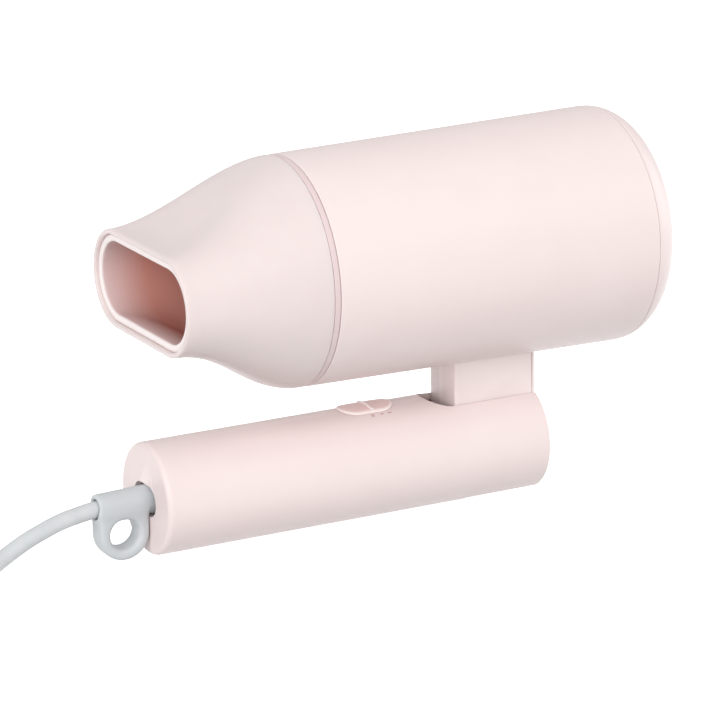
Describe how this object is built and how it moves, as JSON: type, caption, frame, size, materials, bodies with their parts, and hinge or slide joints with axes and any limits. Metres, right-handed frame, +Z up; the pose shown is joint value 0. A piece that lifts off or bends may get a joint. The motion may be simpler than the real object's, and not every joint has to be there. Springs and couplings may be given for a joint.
{
  "type": "hair dryer",
  "caption": "Folding travel hair dryer: round barrel, oval concentrator nozzle, cylindrical handle folded under it, slide switch, hanging loop and mains cord.",
  "frame": {"origin": "bottom centre of the folded dryer's box, without its cord: the point on the table under its middle", "axes": "+Z up; the barrel and the folded handle lie along X and the air blows along -X; the hinge pin lies along Y"},
  "size_m": [0.3572, 0.087, 0.1088],
  "materials": {
    "pink_shell": "pale pink moulded plastic with a satin soft-touch coat",
    "frosted_shell": "frosted, slightly translucent greyish pink plastic",
    "rose_plastic": "dusty rose moulded plastic",
    "grey_rubber": "light cool grey soft rubber",
    "cord_grey": "light grey flexible cord jacket with a soft gloss",
    "plug_grey": "light grey moulded plug",
    "heat_plastic": "dark heat-resistant plastic",
    "mica": "layered mica sheet",
    "steel": "plain bright steel",
    "brass": "plain brass",
    "nickel_wire": "oxidised resistance wire",
    "nickel_plate": "nickel-plated brass",
    "circuit_green": "green circuit board",
    "ferrite": "dark ferrite magnet",
    "gauze": "fine woven wire gauze",
    "fan_plastic": "dark moulded plastic"
  },
  "bodies": {
    "handle": {"handle_shell": "pink_shell", "hinge_cheek_left": "pink_shell", "hinge_cheek_right": "pink_shell", "hinge_pin": "steel", "wave_washer_left": "steel", "wave_washer_right": "steel", "handle_chassis": "heat_plastic", "switch_board": "circuit_green", "board_screw_1": "steel", "board_screw_2": "steel", "switch_body": "fan_plastic", "cord_clamp": "heat_plastic", "cord_clamp_screw_1": "steel", "cord_clamp_screw_2": "steel", "strain_relief": "grey_rubber", "cord_inner_end": "cord_grey", "cord_run": "cord_grey", "cord_coil": "cord_grey", "cord_tail": "cord_grey", "plug_strain_relief": "grey_rubber", "plug_body": "plug_grey", "plug_blade_1": "nickel_plate", "plug_blade_2": "nickel_plate"},
    "switch_slider": {"slider_button": "rose_plastic", "slider_clip": "heat_plastic", "switch_actuator": "heat_plastic"},
    "barrel": {"barrel_shell": "pink_shell", "front_collar": "pink_shell", "outlet_grille": "heat_plastic", "rear_cover": "pink_shell", "inlet_grille": "pink_shell", "inlet_filter": "gauze", "heater_tube": "mica", "heater_board_flat": "mica", "heater_board_upright": "mica", "heating_coil": "nickel_wire", "thermostat": "brass", "thermal_fuse": "steel", "fan_housing": "heat_plastic", "motor_can": "steel", "motor_end_cap": "steel", "motor_bush_front": "brass", "motor_bush_rear": "brass", "motor_magnet_left": "ferrite", "motor_magnet_right": "ferrite", "rectifier_board": "circuit_green", "neck": "pink_shell", "neck_rear_cover": "pink_shell", "neck_clamp_plate": "steel", "neck_screw_1": "steel", "neck_screw_2": "steel"},
    "rotor": {"fan_impeller": "fan_plastic", "motor_shaft": "steel", "motor_armature": "steel"},
    "nozzle_ring": {"nozzle_snap_ring": "steel"},
    "nozzle": {"nozzle_shell": "frosted_shell", "nozzle_liner": "rose_plastic"}
  },
  "joints": [
    {"name": "barrel_fold", "type": "hinge", "parent": "handle", "child": "barrel", "pos_m": [0.035, 0, 0.01588], "axis": [0, 1, 0], "range_deg": [0, 90]},
    {"name": "switch_slide", "type": "slide", "parent": "handle", "child": "switch_slider", "axis": [1, 0, 0], "range_m": [0, 0.0052]},
    {"name": "rotor_spin", "type": "hinge", "parent": "barrel", "child": "rotor", "pos_m": [0.05, 0, 0.07482], "axis": [1, 0, 0], "continuous": true},
    {"name": "nozzle_turn", "type": "hinge", "parent": "barrel", "child": "nozzle_ring", "pos_m": [-0.029, 0, 0.07482], "axis": [1, 0, 0], "continuous": true},
    {"name": "nozzle_pull", "type": "slide", "parent": "nozzle_ring", "child": "nozzle", "axis": [-1, 0, 0], "range_m": [0, 0.03]}
  ]
}
